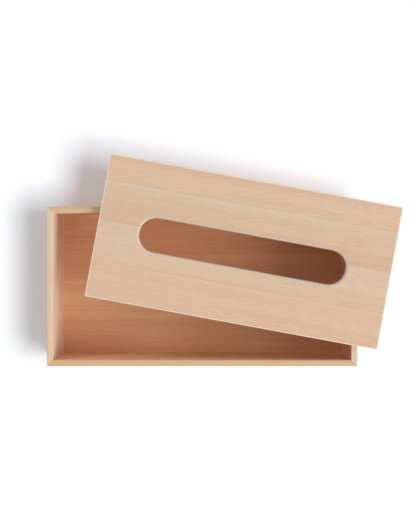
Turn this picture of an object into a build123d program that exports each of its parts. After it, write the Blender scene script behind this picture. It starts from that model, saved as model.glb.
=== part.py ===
"""Wooden tissue box: a mitred tray and a loose, slotted lid glued up from staves.

Millimetres. The origin is the centre of the tray's underside, +X runs along the
box, +Y towards the back wall and +Z up. The lid lies askew on the tray's rim, on
the back and right walls, as it does when someone has just taken it off.
"""

import os
from math import copysign, cos, radians, sin

from build123d import *

# ---- the tray ----
TRAY_LENGTH = 260.0  # outside, along X
TRAY_WIDTH = 133.5  # outside, along Y
TRAY_HEIGHT = 70.0
WALL = 5.3  # thickness of the four wall boards

BOTTOM_THICKNESS = 5.0
REBATE_DEPTH = 2.6  # how far the bottom panel runs in under each wall
BOTTOM_GAP = 0.1  # glue gap round the bottom panel's edge

RIM_EASE = 0.5  # rounding of the rim's two top edges
FOOT_EASE = 0.4  # rounding of the lower outside edges
CORNER_EASE = 0.7  # rounding of the upright outside corners

# ---- the lid ----
LID_THICKNESS = 8.0
LID_GAP = 1.3  # clear on each side when the lid is dropped into the tray
LID_EASE = 0.5  # rounding of the lid's outside edges
LID_CORNER_EASE = 0.6  # rounding of the lid's four upright corners

BACK_STAVE_WIDTH = 21.2  # the strip at the back edge, trimmed narrow
STAVE_WIDTH = 34.0  # each of the two full strips

SLOT_LENGTH = 174.3  # the clear hole, end to end
SLOT_WIDTH = 28.7
SLOT_SHIFT = -1.3  # the slot's centre, along the lid from the lid's centre
SLOT_EASE = 2.0  # rounding of the slot's top and bottom edges

# ---- where the loose lid lies ----
LID_TURN = -10.45  # degrees about +Z
LID_OUT_RIGHT = 36.9  # its back right corner, past the right wall's outside face
LID_OUT_BACK = -0.7  # the same corner, past the back wall's outside face

# ---- worked out from the sizes above ----
INNER_LENGTH = TRAY_LENGTH - 2 * WALL
INNER_WIDTH = TRAY_WIDTH - 2 * WALL
LID_LENGTH = INNER_LENGTH - 2 * LID_GAP
LID_WIDTH = INNER_WIDTH - 2 * LID_GAP

ON_FLOOR = (Align.CENTER, Align.CENTER, Align.MIN)


def block(length, width, height, base=0.0):
    """A box centred on the Z axis that stands at the height base."""
    return Pos(0, 0, base) * Box(length, width, height, align=ON_FLOOR)


def wall_ring():
    """The four walls as one ring, eased, with the rebate for the bottom panel."""
    ring = block(TRAY_LENGTH, TRAY_WIDTH, TRAY_HEIGHT)
    ring = fillet(ring.edges().filter_by(Axis.Z), CORNER_EASE)
    ring = fillet(ring.faces().sort_by(Axis.Z)[0].edges(), FOOT_EASE)
    ring -= block(INNER_LENGTH, INNER_WIDTH, TRAY_HEIGHT)
    ring = fillet(ring.faces().sort_by(Axis.Z)[-1].edges(), RIM_EASE)
    seat = block(
        INNER_LENGTH + 2 * REBATE_DEPTH, INNER_WIDTH + 2 * REBATE_DEPTH, BOTTOM_THICKNESS
    )
    return ring - seat


def mitred(ring, start, end):
    """The wall between two outside corners, cut off at 45 degrees at both ends."""
    depth = 2 * WALL
    inner = [(x - copysign(depth, x), y - copysign(depth, y)) for x, y in (end, start)]
    outline = make_face(Polyline(start, end, *inner, close=True))
    return ring & extrude(outline, TRAY_HEIGHT, dir=(0, 0, 1))


def tray():
    """The tray's five boards, by name."""
    x, y = TRAY_LENGTH / 2, TRAY_WIDTH / 2
    ring = wall_ring()
    return {
        "front_wall": mitred(ring, (-x, -y), (x, -y)),
        "right_wall": mitred(ring, (x, -y), (x, y)),
        "back_wall": mitred(ring, (x, y), (-x, y)),
        "left_wall": mitred(ring, (-x, y), (-x, -y)),
        "bottom_panel": bottom_panel(),
    }


def bottom_panel():
    """The bottom board, flush with the walls' undersides."""
    reach = 2 * (REBATE_DEPTH - BOTTOM_GAP)
    return block(INNER_LENGTH + reach, INNER_WIDTH + reach, BOTTOM_THICKNESS)


def lid_board():
    """The whole lid, flat about its own centre, with the round-ended slot."""
    board = block(LID_LENGTH, LID_WIDTH, LID_THICKNESS)
    board = fillet(board.edges().filter_by(Axis.Z), LID_CORNER_EASE)
    ends = board.faces().sort_by(Axis.Z)
    board = fillet(ends[0].edges() + ends[-1].edges(), LID_EASE)
    slot = extrude(SlotOverall(SLOT_LENGTH, SLOT_WIDTH), LID_THICKNESS)
    board -= Pos(SLOT_SHIFT, 0, 0) * slot
    ends = board.faces().sort_by(Axis.Z)
    rims = ends[0].inner_wires()[0].edges() + ends[-1].inner_wires()[0].edges()
    return fillet(rims, SLOT_EASE)


def lid_place():
    """Where the lid's centre lies on the rim, and how it is turned."""
    turn = radians(LID_TURN)
    half_length, half_width = LID_LENGTH / 2, LID_WIDTH / 2
    corner_x = TRAY_LENGTH / 2 + LID_OUT_RIGHT
    corner_y = TRAY_WIDTH / 2 + LID_OUT_BACK
    x = corner_x - (half_length * cos(turn) - half_width * sin(turn))
    y = corner_y - (half_length * sin(turn) + half_width * cos(turn))
    return Location((x, y, TRAY_HEIGHT), (0, 0, LID_TURN))


def lid():
    """The lid's four staves, by name, from the back edge to the front edge."""
    half_width = LID_WIDTH / 2
    first = half_width - BACK_STAVE_WIDTH
    second = first - STAVE_WIDTH
    third = second - STAVE_WIDTH
    bounds = {
        "lid_stave_back": (half_width, first),
        "lid_stave_mid_back": (first, second),
        "lid_stave_mid_front": (second, third),
        "lid_stave_front": (third, -half_width),
    }
    board = lid_board()
    place = lid_place()
    staves = {}
    for name, (back, front) in bounds.items():
        strip = Pos(0, (back + front) / 2, 0) * block(LID_LENGTH, back - front, LID_THICKNESS)
        staves[name] = place * (board & strip)
    return staves


os.makedirs("parts", exist_ok=True)
for name, piece in {**tray(), **lid()}.items():
    piece.label = name
    export_step(piece, f"parts/{name}.step")
    print(f"{name}: {piece.volume / 1000:.2f} cm3")

place = lid_place().position
print(f"lid {LID_LENGTH:.1f} x {LID_WIDTH:.1f}, centre at {place.X:.2f}, {place.Y:.2f}, {place.Z:.2f}")
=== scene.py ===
from math import cos, pi, radians, sin

import bpy
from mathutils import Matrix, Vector


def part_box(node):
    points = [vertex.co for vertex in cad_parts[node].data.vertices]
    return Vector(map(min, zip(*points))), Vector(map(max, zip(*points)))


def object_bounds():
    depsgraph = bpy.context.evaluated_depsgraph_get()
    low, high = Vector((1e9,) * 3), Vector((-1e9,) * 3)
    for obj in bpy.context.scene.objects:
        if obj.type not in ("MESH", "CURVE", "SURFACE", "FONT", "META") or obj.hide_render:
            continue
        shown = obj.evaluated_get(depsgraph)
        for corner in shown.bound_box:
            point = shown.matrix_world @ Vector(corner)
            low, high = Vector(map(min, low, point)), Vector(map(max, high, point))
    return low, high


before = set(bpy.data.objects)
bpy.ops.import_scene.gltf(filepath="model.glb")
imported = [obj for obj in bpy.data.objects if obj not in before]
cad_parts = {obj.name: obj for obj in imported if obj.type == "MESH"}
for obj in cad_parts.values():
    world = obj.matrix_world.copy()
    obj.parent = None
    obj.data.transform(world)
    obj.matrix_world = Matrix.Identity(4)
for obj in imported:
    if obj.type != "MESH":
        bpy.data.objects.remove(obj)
cad_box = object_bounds()

# ---- Bottom board ----
# One 5 mm board of straight-grained cypress, sawn, planed and sanded. It is glued into the
# rebate that runs round the inside of the four walls, flush with their undersides. Its tones
# are warmer than the walls': painted shade, the deeper orange of wood that lies deep in the box.
PER_MM = 0.001  # metres
GRAIN = {  # length along the grain and width across it, in mm, and the noise's fine detail
    "band": (420.0, 11.0, 2.0),  # broad bands of slightly paler and darker wood
    "streak": (150.0, 2.4, 3.0),  # narrow streaks inside the bands
    "fibre": (7.0, 0.55, 2.0),  # fibres, drawn some ten times as wide as real ones so that they show
    "fleck": (4.0, 0.5, 1.0),  # dark dashes where resin cells are cut open, drawn wide too
    "sway": (130.0, 16.0, 2.0),  # how the growth rings wander
}
REACH = {  # each part's noise where it leaves the wood palest, and where it darkens it most
    "ring": (0.0, 1.0),
    "band": (0.3, 0.7),
    "streak": (0.3, 0.7),
    "fibre": (0.25, 0.75),
    "fleck": (0.64, 0.78),
}
REDDER = (0.8, 1.0, 1.2)  # dark wood loses less red and more blue than green
SWAY = 5.0  # mm; how far the rings wander
LATEWOOD, DARKEST = 0.34, 0.92  # the dark part of a year's growth, and where it is darkest
PATCHY = {"From Min": 0.35, "From Max": 0.62}  # the band noise where rings die out and show fully
END_PORE = 0.35  # mm; the speckle of cut fibres on end grain, drawn coarse as the fibres are
PORES = {"From Min": 0.3, "From Max": 0.7, "To Min": 0.84, "To Max": 1.0}  # noise to lightness
END_SATURATION = 0.85  # of the face's
# A surface is told by how far it faces one way, from 0 to 1. Its mask goes from nothing to
# full between two such values.
ENDWISE = {"From Min": 0.4, "From Max": 0.95}  # along the grain, on a board's ends
OFF_SIDE = {"From Min": 0.05, "From Max": 0.35}  # up or down, going from a side to an edge
OFF_FLAT = {"From Min": 0.995, "From Max": 0.93}  # up or down, going from a flat face to an edge
WORN = {"Saturation": 0.88, "Value": 1.07}  # what sanding does to an edge's colour
RELIEF, RELIEF_STRENGTH = 0.04, 0.25  # mm that the fibres stand up, and how much of it shows
MATT = {"To Min": 0.5, "To Max": 0.66}  # roughness, which changes from fibre to fibre
BARE_WOOD = {"IOR": 1.5, "Specular IOR Level": 0.3}  # wood's usual IOR; dull without varnish


def linear(hex_colour):
    """An sRGB hex colour as the linear red, green, blue and alpha that a shader takes."""
    shares = [int(hex_colour[i : i + 2], 16) / 255 for i in (1, 3, 5)]
    return [c / 12.92 if c <= 0.04045 else ((c + 0.055) / 1.055) ** 2.4 for c in shares] + [1.0]


def add_node(tree, kind, inputs=None, **settings):
    """Adds a node with its settings, values and links. Gives back its outputs by name."""
    node = tree.nodes.new(kind)
    for name, value in settings.items():
        setattr(node, name, value)
    usable = [socket for socket in node.inputs if socket.enabled]
    for key, value in (inputs or {}).items():
        socket = usable[key] if isinstance(key, int) else next(s for s in usable if s.name == key)
        if isinstance(value, bpy.types.NodeSocket):
            tree.links.new(value, socket)
        else:
            socket.default_value = value
    return {socket.name: socket for socket in node.outputs if socket.enabled}


def empty_tree(owner):
    """The node tree of a material or world, with nothing in it."""
    owner.use_nodes = True
    owner.node_tree.nodes.clear()
    return owner.node_tree


def board_frame(tree, middle, turn):
    """Where a point lies in a board's own frame in mm: x along the grain, y across it, z up."""
    placed = {"Vector": add_node(tree, "ShaderNodeTexCoord")["Object"], "Location": middle}
    placed["Rotation"], placed["Scale"] = (0, 0, radians(turn)), (PER_MM, PER_MM, PER_MM)
    return add_node(tree, "ShaderNodeMapping", placed, vector_type="TEXTURE")["Vector"]


def drawn_out_noise(tree, board):
    """Noise for each part of the grain, drawn out along the board."""
    grain = {}
    for part, (length, width, detail) in GRAIN.items():
        cell = {0: board, 1: (1 / length, 1 / width, 1 / width)}
        drawn_out = add_node(tree, "ShaderNodeVectorMath", cell, operation="MULTIPLY")["Vector"]
        shape = {"Vector": drawn_out, "Scale": 1.0, "Detail": detail}
        grain[part] = add_node(tree, "ShaderNodeTexNoise", shape)["Fac"]
    return grain


def growth_rings(tree, board, grain, log):
    """Rings about the log's heart: 0 in spring's pale wood and up to 1 near each year's end."""
    heart_across, heart_above, year = log
    from_heart = {0: board, 1: (0, heart_across, heart_above)}
    offset = add_node(tree, "ShaderNodeVectorMath", from_heart, operation="SUBTRACT")["Vector"]
    level = {0: offset, 1: (0, 1, 1)}
    offset = add_node(tree, "ShaderNodeVectorMath", level, operation="MULTIPLY")["Vector"]
    radius = add_node(tree, "ShaderNodeVectorMath", {0: offset}, operation="LENGTH")["Value"]
    wandering = {0: grain["sway"], 1: SWAY, 2: radius}
    radius = add_node(tree, "ShaderNodeMath", wandering, operation="MULTIPLY_ADD")["Value"]
    years = add_node(tree, "ShaderNodeMath", {0: radius, 1: 1 / year}, operation="MULTIPLY")["Value"]
    season = add_node(tree, "ShaderNodeMath", {0: years}, operation="FRACT")["Value"]
    ring = add_node(tree, "ShaderNodeMapRange", {"Value": grain["band"], **PATCHY})["Result"]
    # the wood darkens slowly through the year, and is pale again at once when the next begins
    for pale_at in (1 - 2 * LATEWOOD, 1.0):
        side = {"Value": season, "From Min": pale_at, "From Max": DARKEST}
        side = add_node(tree, "ShaderNodeMapRange", side, interpolation_type="SMOOTHSTEP")["Result"]
        ring = add_node(tree, "ShaderNodeMath", {0: ring, 1: side}, operation="MULTIPLY")["Value"]
    return ring


def tones_across(tree, across, width, colours):
    """The board's own tones, from its +y edge to its -y edge."""
    spread = {"Value": across, "From Min": width / 2, "From Max": -width / 2}
    spread = add_node(tree, "ShaderNodeMapRange", spread)["Result"]
    tone = add_node(tree, "ShaderNodeValToRGB", {"Fac": spread})["Color"]
    ramp = tone.node.color_ramp
    ramp.interpolation = "EASE"
    ramp.elements.remove(ramp.elements[1])
    ramp.elements[0].color = linear(colours[0])
    for number, colour in enumerate(colours[1:], start=1):
        ramp.elements.new(number / (len(colours) - 1)).color = linear(colour)
    return tone


def grain_shade(tree, grain, strengths):
    """What the grain multiplies red, green and blue by. Flecks only darken the wood."""
    shade = (1, 1, 1)
    for part, strength in strengths.items():
        low, high = REACH[part]
        lift = 0.0 if part == "fleck" else strength / 2
        change = {"Vector": grain[part], "From Min": (low,) * 3, "From Max": (high,) * 3}
        change["To Min"] = [1 + lift * share for share in REDDER]
        change["To Max"] = [1 + (lift - strength) * share for share in REDDER]
        change = add_node(tree, "ShaderNodeMapRange", change, data_type="FLOAT_VECTOR")["Vector"]
        changed = {0: shade, 1: change}
        shade = add_node(tree, "ShaderNodeVectorMath", changed, operation="MULTIPLY")["Vector"]
    return shade


def add_end_grain(tree, face, board, along):
    """Greys the ends of a board and speckles them with cut fibres."""
    speckle = {0: board, "Scale": 1 / END_PORE}
    speckle = add_node(tree, "ShaderNodeVectorMath", speckle, operation="SCALE")["Vector"]
    speckle = add_node(tree, "ShaderNodeTexNoise", {"Vector": speckle, "Scale": 1.0})["Fac"]
    pores = add_node(tree, "ShaderNodeMapRange", {"Value": speckle, **PORES})["Result"]
    greyed = {"Saturation": END_SATURATION, "Value": pores, "Color": face}
    end_grain = add_node(tree, "ShaderNodeHueSaturation", greyed)["Color"]
    endwise = add_node(tree, "ShaderNodeMath", {0: along}, operation="ABSOLUTE")["Value"]
    ends = {"Value": endwise, **ENDWISE}
    ends = add_node(tree, "ShaderNodeMapRange", ends, interpolation_type="SMOOTHSTEP")["Result"]
    face = {"Factor": ends, "A": face, "B": end_grain}
    return add_node(tree, "ShaderNodeMix", face, data_type="RGBA")["Result"]


def add_sanded_edges(tree, face, off_side, off_flat):
    """Makes the eased edges, which are neither side nor flat face, paler than both."""
    arris = {0: off_side, 1: off_flat}
    arris = add_node(tree, "ShaderNodeMath", arris, operation="MULTIPLY")["Value"]
    worn = add_node(tree, "ShaderNodeHueSaturation", {"Color": face, **WORN})["Color"]
    face = {"Factor": arris, "A": face, "B": worn}
    return add_node(tree, "ShaderNodeMix", face, data_type="RGBA")["Result"]


def planed_cypress(name, middle, turn, tones, log, strengths):
    """Planed and sanded cypress for one board, unvarnished: almost matt, with fine lines.

    The pattern is solid, so the lines on a face run on over its edges and its end grain shows
    arcs. middle and turn place the board, in metres and degrees. tones are its width in mm and
    its hex colours from one edge to the other. log is how far across and above the board's
    middle the heart of the log lay, and a year's growth, in mm. strengths are how much the
    rings, bands, streaks, fibres and flecks change the lightness. Gives back the material, and
    what a section needs to work on it further.
    """
    material = bpy.data.materials.new(name)
    tree = empty_tree(material)
    board = board_frame(tree, middle, turn)
    across = add_node(tree, "ShaderNodeSeparateXYZ", {"Vector": board})["Y"]

    # which way the surface faces in the board's own frame, and the masks that come of it
    normal = add_node(tree, "ShaderNodeTexCoord")["Normal"]
    turned = {"Vector": normal, "Rotation": (0, 0, radians(turn))}
    normal = add_node(tree, "ShaderNodeMapping", turned, vector_type="TEXTURE")["Vector"]
    facing = add_node(tree, "ShaderNodeSeparateXYZ", {"Vector": normal})
    upright = add_node(tree, "ShaderNodeMath", {0: facing["Z"]}, operation="ABSOLUTE")["Value"]
    off_side = {"Value": upright, **OFF_SIDE}
    off_side = add_node(tree, "ShaderNodeMapRange", off_side, interpolation_type="SMOOTHSTEP")["Result"]
    off_flat = {"Value": upright, **OFF_FLAT}
    off_flat = add_node(tree, "ShaderNodeMapRange", off_flat, interpolation_type="SMOOTHSTEP")["Result"]

    # its tones and grain, its ends and its edges
    grain = drawn_out_noise(tree, board)
    grain["ring"] = growth_rings(tree, board, grain, log)
    shade = grain_shade(tree, grain, strengths)
    toned = {0: tones_across(tree, across, *tones), 1: shade}
    face = add_node(tree, "ShaderNodeVectorMath", toned, operation="MULTIPLY")["Vector"]
    face = add_end_grain(tree, face, board, facing["X"])
    face = add_sanded_edges(tree, face, off_side, off_flat)

    # nearly matt: the raised fibres break up what little shine there is
    relief = {"Height": grain["fibre"], "Strength": RELIEF_STRENGTH, "Distance": RELIEF * PER_MM}
    relief = add_node(tree, "ShaderNodeBump", relief)["Normal"]
    roughness = add_node(tree, "ShaderNodeMapRange", {"Value": grain["fibre"], **MATT})["Result"]
    surface = {"Base Color": face, "Roughness": roughness, "Normal": relief, **BARE_WOOD}
    shader = add_node(tree, "ShaderNodeBsdfPrincipled", surface)["BSDF"]
    add_node(tree, "ShaderNodeOutputMaterial", {"Surface": shader})
    return material, {
        "board": board,  # a point's place in the board's frame
        "across": across,  # how far across the board it is, in mm
        "sideways": facing["Y"],  # how far its surface faces the board's +y
        "off_side": off_side,  # 0 on the sides, and 1 on the edges and the flat faces
        "off_flat": off_flat,  # 0 on the flat faces, and 1 on the edges and the sides
        "face": face,  # the wood's colour
        "shade": shade,  # what the grain alone multiplies a colour by
        "roughness": roughness,
        "shader": shader.node,
    }


def finish_board(node, material):
    """Gives a CAD node its material."""
    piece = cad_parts[node]
    piece.data.materials.clear()
    piece.data.materials.append(material)


def middle_of(*nodes):
    """The middle of the box round one or more nodes."""
    corners = [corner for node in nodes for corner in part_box(node)]
    return Vector([(min(places) + max(places)) / 2 for places in zip(*corners)])


# its width in mm and its tones from back to front, all warmer than the walls': painted shade
BOTTOM_TONES_AND_SHADE = (120.0, ("#e4ad82", "#dea47a", "#e2a97f", "#e6b585", "#e4af82", "#dfa57b"))
BOTTOM_LOG = (170, -25, 2.6)  # mm
BOTTOM_GRAIN = {"ring": 0.09, "band": 0.14, "streak": 0.14, "fibre": 0.12, "fleck": 0.06}
bottom, _ = planed_cypress(
    "planed_cypress_bottom", middle_of("bottom_panel"), 0, BOTTOM_TONES_AND_SHADE, BOTTOM_LOG, BOTTOM_GRAIN
)
finish_board("bottom_panel", bottom)

# ---- Tray walls ----
# Four 5.3 mm boards of the same cypress, the grain running the length of each. They are
# mitred at 45 degrees, glued at the corners and sanded flush, with the edges just eased.
# The growth rings come out on the rims as a few thin lines along each wall.
WALL_THICKNESS = 5.3  # mm
WALL_LOG = (95, 20, 1.5)  # mm
WALL_GRAIN = {"ring": 0.16, "band": 0.10, "streak": 0.14, "fibre": 0.10, "fleck": 0.05}
# A wall's inner face faces the wall's own +y and has a tone of its own, warmer than its
# sanded rim: painted shade, the deeper orange of wood in the box's shade. On the left wall,
# where the light falls, it is paler: painted light. Each wall has its turn in degrees, its
# rim's tones from the inside out, and the painted tone of its inner face.
WALL_BOARDS = {
    "front_wall": (0, ("#cfa57c", "#d5af8b", "#d0ab88"), "#e4b893"),
    "right_wall": (90, ("#dac4ac", "#dac2a8", "#d9c0a6"), "#e4b893"),
    "back_wall": (180, ("#d8ba96", "#d2ae8b", "#cea47b"), "#e4b893"),
    "left_wall": (270, ("#dcbfa7", "#dac1a8", "#d7ba99"), "#e7c9af"),
}
INWARD = {"From Min": 0.75, "From Max": 0.95}  # how far a surface faces inward, as a mask
FIGURE_LENGTH, FIGURE_WIDTH, FIGURE_TURN = 90.0, 4.5, 7.0  # mm, and degrees off the grain
FIGURE = (1.0, 0.93, 0.83)  # how a slanting orange streak tints the wood
FIGURE_NOISE = (0.52, 0.68)  # where such a streak begins, and where it is full


def slanting_streaks(tree, board):
    """What the orange streaks that slant across the grain multiply red, green and blue by."""
    slanted = {"Vector": board, "Rotation": (0, 0, radians(FIGURE_TURN))}
    slanted["Scale"] = (FIGURE_LENGTH, FIGURE_WIDTH, FIGURE_WIDTH)
    slanted = add_node(tree, "ShaderNodeMapping", slanted, vector_type="TEXTURE")["Vector"]
    streak = add_node(tree, "ShaderNodeTexNoise", {"Vector": slanted, "Scale": 1.0})["Fac"]
    low, high = FIGURE_NOISE
    tint = {"Vector": streak, "From Min": (low,) * 3, "From Max": (high,) * 3}
    tint["To Min"], tint["To Max"] = (1, 1, 1), FIGURE
    return add_node(tree, "ShaderNodeMapRange", tint, data_type="FLOAT_VECTOR")["Vector"]


for wall, (turn, colours, inner_shade_tone) in WALL_BOARDS.items():
    tones = (WALL_THICKNESS, colours)
    made, wood = planed_cypress(
        f"planed_cypress_{wall}", middle_of(wall), turn, tones, WALL_LOG, WALL_GRAIN
    )
    tree = made.node_tree
    face = {0: wood["face"], 1: slanting_streaks(tree, wood["board"])}
    face = add_node(tree, "ShaderNodeVectorMath", face, operation="MULTIPLY")["Vector"]
    # the inner face takes the painted tone: warmer as shade, paler on the lit left wall
    shaded_inner = {0: wood["shade"], 1: linear(inner_shade_tone)[:3]}
    shaded_inner = add_node(tree, "ShaderNodeVectorMath", shaded_inner, operation="MULTIPLY")["Vector"]
    inward = add_node(tree, "ShaderNodeMapRange", {"Value": wood["sideways"], **INWARD})["Result"]
    face = {"Factor": inward, "A": face, "B": shaded_inner}
    face = add_node(tree, "ShaderNodeMix", face, data_type="RGBA")["Result"]
    tree.links.new(face, wood["shader"].inputs["Base Color"])
    finish_board(wall, made)

# ---- Lid staves ----
# Four strips of quarter-sawn cypress, 8 mm thick, glued edge to edge into one board. The
# board is trimmed, sanded and routed with the round-ended slot. Each strip comes from
# another part of the log, so its tone and the angle of its lines differ a little.
LID_TURN = -10.45  # degrees about +Z
LID_LENGTH, LID_WIDTH = 246.8, 120.3  # mm
LID_GRAIN = {"ring": 0.08, "band": 0.04, "streak": 0.06, "fibre": 0.17, "fleck": 0.10}
STAVES = {  # each one's width in mm with its tones from back to front, and its log in mm
    "lid_stave_back": ((21.2, ("#d7b699", "#d8b89b", "#d7b798")), (140, 30, 1.9)),
    "lid_stave_mid_back": ((34.0, ("#d7bea3", "#d4b497", "#d2af93")), (150, -45, 1.6)),
    "lid_stave_mid_front": ((34.0, ("#d8bda2", "#d7bca1", "#d6b79a")), (-160, 35, 1.8)),
    "lid_stave_front": ((31.1, ("#dcb89d", "#d8b699", "#d6b498")), (-130, -60, 1.5)),
}
GLUE_LINE, GLUED = 0.45, 0.94  # mm of each stave, drawn wide to show, and how dark the line is
EDGE_HIGHLIGHT, EDGE_HIGHLIGHT_WIDTH = "#eddac0", 1.3  # a painted highlight along the lid's outer edges, as light catching their easing, and its width in mm, drawn wide too
FULL_HIGHLIGHT = 1 / 3  # the share of that width in which none of the wood's own tone is left
ROUTED_GREY_AND_SHEEN = "#d1c3bb"  # the slot's rounded edge, paler and greyer than the wood: partly its cut fibres, partly a painted reflection of the white light it catches
ROUTED_SHARE = 0.8  # how much of that colour covers the wood
ROUTED_ROUGHNESS = 0.36  # burnished, so that it catches the light
ROUTED_WALL = 0.3  # how much of both is left on the slot's upright wall, below the rounding
SLOT_REACH = (112.0, 30.0)  # mm from the lid's middle, along and across; the slot lies inside


def glue_lines(tree, across, width):
    """What a stave's colour is multiplied by: 1, and less in a thin line along both its edges."""
    off_middle = add_node(tree, "ShaderNodeMath", {0: across}, operation="ABSOLUTE")["Value"]
    line = {"Value": off_middle, "To Min": 1.0, "To Max": GLUED}
    line["From Min"], line["From Max"] = width / 2 - 2 * GLUE_LINE, width / 2 - GLUE_LINE
    return add_node(tree, "ShaderNodeMapRange", line)["Result"]


def painted_edge_highlight(tree, off_middle, off_side):
    """Where a highlight is painted on the lid's top and bottom, along its outer edges."""
    inset = {0: (LID_LENGTH / 2, LID_WIDTH / 2, 0), 1: off_middle}
    inset = add_node(tree, "ShaderNodeVectorMath", inset, operation="SUBTRACT")["Vector"]
    inset = add_node(tree, "ShaderNodeSeparateXYZ", {"Vector": inset})
    inset = {0: inset["X"], 1: inset["Y"]}
    inset = add_node(tree, "ShaderNodeMath", inset, operation="MINIMUM")["Value"]
    highlit = {"Value": inset, "From Min": EDGE_HIGHLIGHT_WIDTH, "From Max": EDGE_HIGHLIGHT_WIDTH * FULL_HIGHLIGHT}
    highlit = add_node(tree, "ShaderNodeMapRange", highlit, interpolation_type="SMOOTHSTEP")["Result"]
    highlit = {0: highlit, 1: off_side}
    return add_node(tree, "ShaderNodeMath", highlit, operation="MULTIPLY")["Value"]


def routed_edge(tree, off_middle, off_side, off_flat):
    """Where the router has been: in full on the slot's rounding, and partly on its wall."""
    near = add_node(tree, "ShaderNodeSeparateXYZ", {"Vector": off_middle})
    routed = add_node(tree, "ShaderNodeMapRange", {"Value": off_side, "To Min": ROUTED_WALL})["Result"]
    routed = {0: routed, 1: off_flat}
    routed = add_node(tree, "ShaderNodeMath", routed, operation="MULTIPLY")["Value"]
    for direction, reach in zip("XY", SLOT_REACH):
        within = {0: near[direction], 1: reach}
        within = add_node(tree, "ShaderNodeMath", within, operation="LESS_THAN")["Value"]
        routed = {0: routed, 1: within}
        routed = add_node(tree, "ShaderNodeMath", routed, operation="MULTIPLY")["Value"]
    return routed


for stave, (tones, log) in STAVES.items():
    made, wood = planed_cypress(
        f"sanded_cypress_{stave}", middle_of(stave), LID_TURN, tones, log, LID_GRAIN
    )
    tree = made.node_tree
    # how far a point is from the lid's middle, along and across the lid
    on_lid = board_frame(tree, middle_of(*STAVES), LID_TURN)
    off_middle = add_node(tree, "ShaderNodeVectorMath", {0: on_lid}, operation="ABSOLUTE")["Vector"]
    face = {0: wood["face"], "Scale": glue_lines(tree, wood["across"], tones[0])}
    face = add_node(tree, "ShaderNodeVectorMath", face, operation="SCALE")["Vector"]
    # a painted highlight along the lid's outer edges
    highlit = painted_edge_highlight(tree, off_middle, wood["off_side"])
    face = {"Factor": highlit, "A": face, "B": linear(EDGE_HIGHLIGHT)}
    face = add_node(tree, "ShaderNodeMix", face, data_type="RGBA")["Result"]
    routed = routed_edge(tree, off_middle, wood["off_side"], wood["off_flat"])
    # the rounding's grey is partly a painted reflection of white light
    greyed = {0: routed, 1: ROUTED_SHARE}
    greyed = add_node(tree, "ShaderNodeMath", greyed, operation="MULTIPLY")["Value"]
    face = {"Factor": greyed, "A": face, "B": linear(ROUTED_GREY_AND_SHEEN)}
    face = add_node(tree, "ShaderNodeMix", face, data_type="RGBA")["Result"]
    tree.links.new(face, wood["shader"].inputs["Base Color"])
    burnished = {"Factor": routed, "A": wood["roughness"], "B": ROUTED_ROUGHNESS}
    burnished = add_node(tree, "ShaderNodeMix", burnished, data_type="FLOAT")["Result"]
    tree.links.new(burnished, wood["shader"].inputs["Roughness"])
    finish_board(stave, made)

# ---- Floor ----
# A large sheet of white studio paper under the tray. It isn't part of the object. To the
# camera it is as over-exposed as in a catalogue picture, so that only real shadow shows, a
# little cool, as paper is beside warm wood, and plain white far from the tray.
FLOOR_SIZE = 24.0  # m
PAPER = "#ececec"  # its own colour, which throws light back at the tray
PAPER_SEEN, FLOOR_LIFT = "#f5f8ff", 1.17  # the colour that is seen, and its over-exposure
FADE_START, FADE_END = 0.4, 1.0  # m from the tray's middle, where it fades to plain white
WHITE = (1, 1, 1, 1)


def is_seen(tree):
    """1 for what is seen, directly, in gloss or through glass, and 0 for what lights the tray."""
    ray = add_node(tree, "ShaderNodeLightPath")
    seen = ray["Is Camera Ray"]
    for other in ("Is Glossy Ray", "Is Transmission Ray"):
        either = {0: seen, 1: ray[other]}
        seen = add_node(tree, "ShaderNodeMath", either, operation="MAXIMUM")["Value"]
    return seen


bpy.ops.mesh.primitive_plane_add(size=FLOOR_SIZE, location=(0, 0, cad_box[0].z))
floor = bpy.context.object
floor.name = "floor"
paper = bpy.data.materials.new("white_paper")
tree = empty_tree(paper)
plain = add_node(tree, "ShaderNodeBsdfDiffuse", {"Color": linear(PAPER)})["BSDF"]
over_exposed = [FLOOR_LIFT * share for share in linear(PAPER_SEEN)[:3]] + [1]
lifted = add_node(tree, "ShaderNodeBsdfDiffuse", {"Color": over_exposed})["BSDF"]
white = add_node(tree, "ShaderNodeEmission", {"Color": WHITE})["Emission"]
middle = {0: add_node(tree, "ShaderNodeTexCoord")["Object"]}
away = add_node(tree, "ShaderNodeVectorMath", middle, operation="LENGTH")["Value"]
away = {"Value": away, "From Min": FADE_START, "From Max": FADE_END}
away = add_node(tree, "ShaderNodeMapRange", away, interpolation_type="SMOOTHSTEP")["Result"]
backdrop = add_node(tree, "ShaderNodeMixShader", {"Fac": away, 1: lifted, 2: white})["Shader"]
shown = {"Fac": is_seen(tree), 1: plain, 2: backdrop}
shown = add_node(tree, "ShaderNodeMixShader", shown)["Shader"]
add_node(tree, "ShaderNodeOutputMaterial", {"Surface": shown})
floor.data.materials.append(paper)

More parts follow.
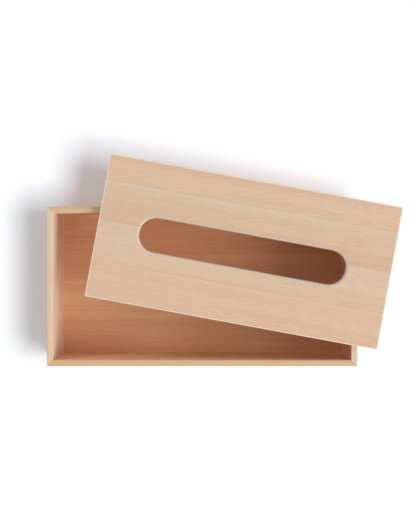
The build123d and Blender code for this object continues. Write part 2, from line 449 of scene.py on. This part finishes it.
# ---- Light ----
# Soft panels stand to the right and in front, with a small weak one behind and to the left,
# and white walls fill the shadows. Together they light a level surface with a strength of 1.
# The floor has a higher panel of its own, linked to it alone, so that its shadow is short.
LIGHT_DISTANCE = 4.0  # m
FLOOR_PANEL = "floor_panel"
PANELS = {  # share of the light, degrees from +X towards +Y, degrees up, and metres wide and tall
    "window_panel": (0.30, -15.0, 43.0, 2.7, 1.9),
    "low_panel": (0.13, -47.0, 30.0, 2.7, 1.9),
    "bounce_panel": (0.09, 128.0, 27.0, 1.6, 1.2),
    FLOOR_PANEL: (0.52, -15.5, 62.0, 1.8, 1.3),
}
SPREAD_LOSS = 0.16  # how much less a wide panel gives, its corners being further off and askew
for name, (share, azimuth, elevation, wide, tall) in PANELS.items():
    azimuth, elevation = radians(azimuth), radians(elevation)
    towards = Vector((cos(elevation) * cos(azimuth), cos(elevation) * sin(azimuth), sin(elevation)))
    lamp = bpy.data.lights.new(name, "AREA")
    lamp.shape = "RECTANGLE"
    lamp.size, lamp.size_y = wide, tall
    # the power with which a small panel gives a level white surface its share, then this one's
    small_panel = share * pi**2 * LIGHT_DISTANCE**2 / sin(elevation)
    lamp.energy = small_panel * (1 + SPREAD_LOSS * (wide**2 + tall**2) / LIGHT_DISTANCE**2)
    panel = bpy.data.objects.new(name, lamp)
    panel.location = towards * LIGHT_DISTANCE
    panel.rotation_euler = (-towards).to_track_quat("-Z", "Y").to_euler()
    bpy.context.scene.collection.objects.link(panel)
    # the floor's own panel lights only the floor, and each other panel all but the floor
    lit = bpy.data.collections.new(f"lit_by_{name}")
    lit.objects.link(floor)
    state = "INCLUDE" if name == FLOOR_PANEL else "EXCLUDE"
    lit.collection_objects[0].light_linking.link_state = state
    panel.light_linking.receiver_collection = lit

world = bpy.data.worlds.new("white_room")
bpy.context.scene.world = world
tree = empty_tree(world)
fill = 1 - PANELS[FLOOR_PANEL][0]
room = add_node(tree, "ShaderNodeBackground", {"Color": (fill, fill, fill, 1)})["Background"]
white = add_node(tree, "ShaderNodeBackground", {"Color": WHITE})["Background"]
shown = {"Fac": is_seen(tree), 1: room, 2: white}
shown = add_node(tree, "ShaderNodeMixShader", shown)["Shader"]
add_node(tree, "ShaderNodeOutputWorld", {"Surface": shown})

# ---- Camera ----
# The photograph is taken from straight above, a little to the back and right of the tray's
# middle, and its frame is moved along the tray's width instead of the camera being tilted.
CAMERA_PLACE = (0.0048, 0.0389, 0.959)  # m
SENSOR = 36.0  # mm, on the long side of the 416 x 520 frame
LENS = 73.6  # mm
FRAME_SHIFT = -20 / 520  # 20 pixels, as a share of the long side
view = bpy.data.cameras.new("camera")
view.sensor_width = SENSOR
view.lens = LENS
view.shift_y = FRAME_SHIFT
camera = bpy.data.objects.new("camera", view)
camera.location = CAMERA_PLACE
bpy.context.scene.collection.objects.link(camera)
bpy.context.scene.camera = camera
bpy.context.scene.view_settings.view_transform = "Standard"
